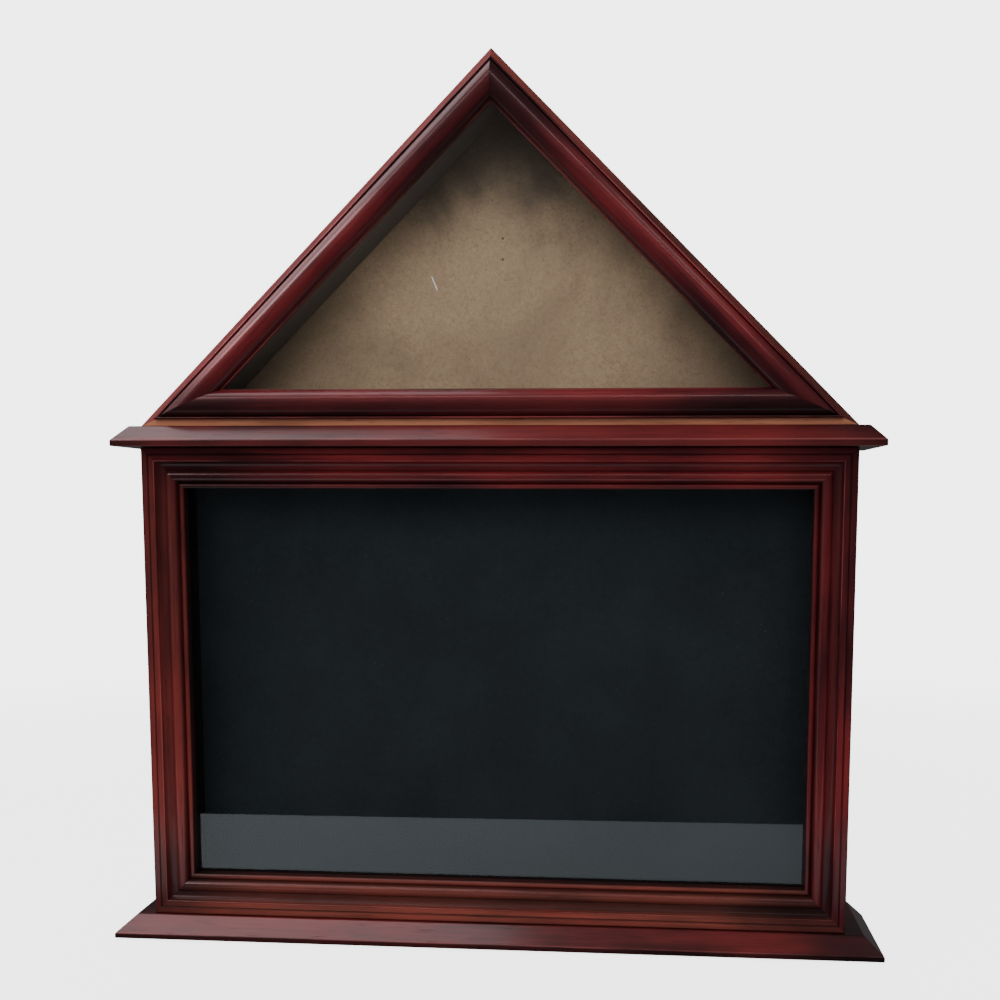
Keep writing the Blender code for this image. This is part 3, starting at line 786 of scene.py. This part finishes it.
def screwModel(length):
    # half the screw is walked from its crown to its point and spun, and the cross is cut into the head
    part = panScrew
    profile = arc((0, 0), (part["head"], part["crown"]), 90, 12, 10)
    profile += [(part["head"], 0.15), (part["head"] - 0.15, 0), (part["shank"], 0)]
    root = part["shank"] - part["threadDepth"]
    for turn in range(int(length * part["threaded"] / part["pitch"])):
        crest = -0.6 - turn * part["pitch"]
        profile += [(root, crest + 0.30), (part["shank"], crest), (root, crest - 0.30)]
    profile += [(part["shank"] - 0.3, -length * 0.75), (0, -length)]
    model = walkOutline("screw model", [(x * mm, 0, z * mm) for x, z in profile])
    bpy.ops.mesh.spin(steps=32, angle=math.radians(360), center=(0, 0, 0), axis=(0, 0, 1))
    bpy.ops.mesh.select_all(action="SELECT")
    bpy.ops.mesh.remove_doubles(threshold=0.01 * mm)
    faceOutward()
    blade = (part["slotLength"] * mm, part["slotWidth"] * mm, part["slotDepth"] * 2 * mm)
    for quarter in (0, 90):
        cutWith(model, makeBlock("blade", (0, 0, part["crown"] * mm), blade, math.radians(quarter)))
    smoothBelow(model, 30)
    return model


def makeButtons(brass):
    model, screw = buttonModel(), screwModel(14.0)
    for joint in frame["joints"]:
        name = joint["child"]
        if name == "hanger_ring":
            continue
        pivot = Vector(joint["pos_m"])
        low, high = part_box(name)
        inward = (low + high) / 2 - pivot
        inward = Vector((inward.x, 0, inward.z)).normalized()
        across = inward.cross(frontward)
        turn = Matrix((inward, across, -frontward)).transposed().to_4x4()
        button = copyTo(model, name + "_shown", Matrix.Translation(pivot) @ turn)
        finishPiece(button, brass, body=name)
        seat = Vector((pivot.x, high.y + 0.3 * mm, pivot.z))
        angle = Matrix.Rotation(math.radians(37 * len(name)), 4, "Z")  # no two slots stand alike
        made = copyTo(screw, name + "_screw_shown", Matrix.Translation(seat) @ turn @ angle)
        finishPiece(made, brass)
    bpy.data.objects.remove(model)
    bpy.data.objects.remove(screw)
    print("turn buttons and their screws done")


def makeStrap(zinc):
    # the plate and its rolled eye are one outline seen from the side, pulled out to the strap's width
    low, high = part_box("hanger_strap")
    wrap = strap["eye"] + strap["thickness"]
    axis = Vector((0, low.y + wrap * mm, high.z - wrap * mm))
    meet = math.degrees(math.asin(strap["eye"] / wrap))
    side = [(-strap["length"], -wrap), (0, -wrap)] + arc((0, 0), (wrap, wrap), -80, 180 + meet, 30)
    side += [(-strap["length"], -strap["eye"])]
    points = [axis + Vector((-strap["width"] / 2, v, u)) * mm for u, v in side]
    plate = drawOutline("hanger_strap_shown", points)
    pullOut((strap["width"] * mm, 0, 0))
    cutWith(plate, cylinderCutter(strap["eye"] * mm, 20 * mm, axis, (0, math.radians(90), 0)))
    for drop in strap["screws"]:
        spot = (0, low.y, axis.z - drop * mm)
        cutWith(plate, cylinderCutter(strap["hole"] * mm, 6 * mm, spot, (math.radians(90), 0, 0)))
    easeEdges(plate, 0.2 * mm, 2, 50)
    smoothBelow(plate, 35)
    finishPiece(plate, zinc)
    return axis


def makeRing(axis, zinc):
    # a D of round wire, bent on a curve and turned into a mesh
    corner, side = ring["corner"], ring["halfWidth"] - ring["corner"]
    path = arc((side, -corner), (corner, corner), 90, 0, 10)
    path += arc((0, -corner), (ring["halfWidth"], ring["drop"] - corner), -6, -174, 40)
    path += arc((-side, -corner), (corner, corner), 180, 90, 10)
    deselectAll()
    bpy.ops.curve.primitive_nurbs_path_add()
    wire = bpy.context.active_object
    wire.name = wire.data.name = "hanger_ring_shown"
    wire.data.splines.clear()
    spline = wire.data.splines.new("POLY")
    spline.points.add(len(path) - 1)
    for point, (x, z) in zip(spline.points, path):
        point.co = (axis.x + x * mm, axis.y, axis.z + z * mm, 1)
    spline.use_cyclic_u = True
    wire.data.bevel_depth = ring["wire"] * mm * 0.99
    wire.data.bevel_resolution = 5
    wire.data.use_fill_caps = False
    makeActive(wire)
    bpy.ops.object.convert(target="MESH")
    wire = bpy.context.active_object
    settle(wire)
    bpy.ops.object.mode_set(mode="EDIT")
    bpy.ops.mesh.select_all(action="SELECT")
    bpy.ops.mesh.remove_doubles(threshold=0.005 * mm)
    faceOutward()
    smoothBelow(wire, 60)
    finishPiece(wire, zinc, body="hanger_ring")


def makeHanger(zinc):
    axis = makeStrap(zinc)
    makeRing(axis, zinc)
    screw = screwModel(8.5)
    turn = Matrix((right, right.cross(frontward), -frontward)).transposed().to_4x4()
    for level, drop in zip(("upper", "lower"), strap["screws"]):
        name = f"hanger_screw_{level}"
        seat = Vector((0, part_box(name)[1].y - panScrew["crown"] * mm, axis.z - drop * mm))
        angle = Matrix.Rotation(math.radians(drop * 7), 4, "Z")
        made = copyTo(screw, name + "_shown", Matrix.Translation(seat) @ turn @ angle)
        finishPiece(made, zinc)
    bpy.data.objects.remove(screw)
    print("hanger done")


pads = {"ease": 0.5}  # millimetres


def makePads():
    padFelt = blackFelt("pad felt", (0.085, 0.066, 0.055), 0.0002)
    for side in ("left", "right"):
        for end in ("front", "back"):
            name = f"pad_{end}_{side}"
            low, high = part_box(name)
            deselectAll()
            bpy.ops.mesh.primitive_cylinder_add(vertices=48, radius=(high.x - low.x) / 2,
                                                depth=high.z - low.z, location=(low + high) / 2)
            pad = named(name + "_shown")
            settle(pad)
            easeEdges(pad, pads["ease"] * mm, 3, 50)
            smoothBelow(pad, 35)
            finishPiece(pad, padFelt)
    print("pads done")


stage = {
    "floorSize": 6.0, "floor": (0.80, 0.80, 0.80), "floorGlow": 3.2, "floorMirrored": 0.20,
    "table": (0.80, 0.90, 0.95), "tableRight": (0.54, 0.61, 0.66), "tableNear": (0.045, 0.045, 0.050),
    "tableReach": 0.404, "tableTurn": 0.0196, "tableAcross": (-0.50, 0.45), "footShade": (0.115, 0.150),
    "floorFade": (0.8, 2.2), "roomDark": 0.014, "roomBehind": 0.06, "roomHigh": 0.03, "roomLeft": 0.25,
    "background": (0.96, 0.97, 0.98), "backgroundGlow": 4.5, "ambient": 0.55,
}


def paint(thing, shader, finish):
    thing.data.materials.append(finish.show(shader))
    finish.owner.cycles.emission_sampling = "NONE"  # it glows only where it is looked at


def makeFloor():
    deselectAll()
    bpy.ops.mesh.primitive_plane_add(size=stage["floorSize"], location=(0, 0, 0))
    floor = named("floor")
    finish = Finish("pale floor")
    seen = finish.add("ShaderNodeLightPath", output="Is Camera Ray")
    mirrored = finish.add("ShaderNodeLightPath", output="Is Glossy Ray")
    shade = finish.blend(mirrored, stage["floor"], (stage["floorMirrored"],) * 3)
    matt = finish.add("ShaderNodeBsdfDiffuse", None, {"Color": shade})
    glow = finish.add("ShaderNodeEmission", None, {
        "Color": (*stage["background"], 1), "Strength": seen * stage["floorGlow"]})
    both = finish.add("ShaderNodeAddShader", None, {0: matt, 1: glow})
    away = finish.add("ShaderNodeVectorMath", {"operation": "LENGTH"}, {0: finish.spot()}, "Value")
    fade = finish.between(away, *stage["floorFade"])
    clear = finish.add("ShaderNodeBsdfTransparent")
    paint(floor, finish.add("ShaderNodeMixShader", None, {0: fade, 1: both, 2: clear}), finish)

    # what the panes mirror in front: a pale table top that ends, and a dark room beyond it
    deselectAll()
    bpy.ops.mesh.primitive_plane_add(size=stage["floorSize"], location=(0, 0, 0))
    card = named("mirrored table")
    card.data.transform(Matrix.Translation((0, roofFront - 0.03 - stage["floorSize"] / 2, 0.4 * mm)))
    finish = Finish("mirrored table")
    edgeWay = frontward - right * stage["tableTurn"]
    ahead = finish.distance(finish.spot(), edgeWay, (0, roofFront, 0))
    far = finish.between(ahead, stage["tableReach"], stage["tableReach"] + 0.004)
    sideways = finish.between(finish.distance(finish.spot(), right), *stage["tableAcross"])
    light = finish.blend(sideways, stage["table"], stage["tableRight"])
    light = finish.blend(far, light, (stage["roomDark"],) * 3)
    near = finish.between(ahead, *stage["footShade"])  # the case's own foot keeps the table beside it dark
    light = finish.blend(near, stage["tableNear"], light)
    paint(card, finish.add("ShaderNodeEmission", None, {"Color": light}), finish)
    card.visible_camera = card.visible_diffuse = card.visible_shadow = card.visible_transmission = False


def makeWorld():
    world = bpy.data.worlds.new("studio")
    bpy.context.scene.world = world
    finish = Finish("studio", world)
    path = finish.tree.nodes.new("ShaderNodeLightPath")
    seen = Wire(finish, path.outputs["Is Camera Ray"])
    mirrored = Wire(finish, path.outputs["Is Glossy Ray"])
    way = finish.add("ShaderNodeTexCoord", output="Generated")
    behind = finish.between(finish.distance(way, -frontward), -0.30, 0.75)
    height = finish.between(finish.distance(way, up), -0.1, 1.0)
    fromLeft = finish.between(finish.distance(way, -right), 0.50, 1.0)
    room = stage["roomDark"] + behind * stage["roomBehind"] + height * stage["roomHigh"]
    room = room + fromLeft * stage["roomLeft"]
    strength = mirrored * room + (1 - mirrored) * stage["ambient"]
    strength = seen * stage["backgroundGlow"] + (1 - seen) * strength
    shader = finish.add("ShaderNodeBackground", None, {
        "Color": (*stage["background"], 1), "Strength": strength})
    finish.add("ShaderNodeOutputWorld", None, {"Surface": shader})


lights = {  # the ceiling lights only show as shine on the lacquer, the others light the case
    "ceiling": {"at": (-0.68, -0.22, 1.75), "aim": (-0.68, -0.22, 0), "size": (1.04, 1.1), "radiance": 3.3,
                "colour": (1.0, 0.86, 0.89), "shine": True},
    "window": {"at": (-1.62, -0.55, 1.75), "aim": (-1.62, -0.55, 0), "size": (0.95, 2.4), "radiance": 4.4,
               "colour": (1.0, 0.60, 0.63), "shine": True},
    "window core": {"at": (-1.62, -1.50, 1.74), "aim": (-1.62, -1.50, 0), "size": (0.95, 0.9),
                    "radiance": 10.0, "colour": (1.0, 0.72, 0.72), "shine": True},
    "front strip": {"at": (0, -1.45, 1.75), "aim": (0, -1.45, 0), "size": (2.8, 0.22), "radiance": 4.6,
                    "colour": (1.0, 0.78, 0.76), "shine": True},
    "ceiling right": {"at": (1.00, -0.60, 1.75), "aim": (1.00, -0.60, 0), "size": (0.4, 0.7),
                      "radiance": 1.5, "colour": (1.0, 0.97, 0.96), "shine": True},
    "front": {"at": (-0.05, -2.60, 1.30), "aim": (0, 0, 0.45), "size": (1.8, 1.2), "radiance": 4.4,
              "colour": (1.0, 0.98, 0.96), "shine": False},
    "soft top": {"at": (-0.40, -0.60, 1.90), "aim": (0, 0, 0.3), "size": (1.6, 1.2), "radiance": 0.5,
                 "colour": (1.0, 0.97, 0.96), "shine": False},
}


def makeLights():
    for name, light in lights.items():
        lamp = bpy.data.lights.new(name, "AREA")
        lamp.shape = "RECTANGLE"
        lamp.size, lamp.size_y = light["size"]
        lamp.energy = light["radiance"] * math.pi * light["size"][0] * light["size"][1]
        lamp.color = light["colour"]
        holder = bpy.data.objects.new(name, lamp)
        bpy.context.scene.collection.objects.link(holder)
        holder.location = light["at"]
        way = Vector(light["aim"]) - Vector(light["at"])
        holder.rotation_euler = way.to_track_quat("-Z", "Y").to_euler()
        holder.visible_camera = False
        holder.visible_glossy = light["shine"]
        holder.visible_diffuse = not light["shine"]


viewpoint = {
    "at": (0.1348, -1.0998, 0.4214), "turnLeft": 0.07619, "lookDown": 0.10279, "roll": 0.00281,
    "lens": 41.74, "shift": (-0.05, 0.12),
}


def makeCamera():
    turn, tilt, roll = viewpoint["turnLeft"], viewpoint["lookDown"], viewpoint["roll"]
    ahead = Vector((-math.sin(turn) * math.cos(tilt), math.cos(turn) * math.cos(tilt), -math.sin(tilt)))
    level = Vector((math.cos(turn), math.sin(turn), 0))
    top = level.cross(ahead)
    across = level * math.cos(roll) + top * math.sin(roll)
    over = top * math.cos(roll) - level * math.sin(roll)
    lens = bpy.data.cameras.new("camera")
    lens.lens = viewpoint["lens"]
    lens.sensor_width = 36
    lens.shift_x, lens.shift_y = viewpoint["shift"]
    lens.clip_start = 0.01
    holder = bpy.data.objects.new("camera", lens)
    bpy.context.scene.collection.objects.link(holder)
    turned = Matrix((across, over, -ahead)).transposed().to_4x4()
    holder.matrix_world = Matrix.Translation(viewpoint["at"]) @ turned
    bpy.context.scene.camera = holder


makeCamera()
makeWorld()
makeLights()
makeFloor()
print("stage done")
makeMouldings()
makeRoof()
makeBeads()
for name, shape in ledges.items():
    makeLedge(name, **shape)
for name, (grain, inward) in boxBoards["boards"].items():
    makeBoxBoard(name, grain, inward)
print("ledges and box boards done")
makeSheets()
makeButtons(plated("brass plate", (0.72, 0.50, 0.20), (0.42, 0.27, 0.10), (120, 2400, 2400)))
makeHanger(plated("zinc plate", (0.66, 0.67, 0.70), (0.40, 0.41, 0.44), (2400, 2400, 120)))
makePads()
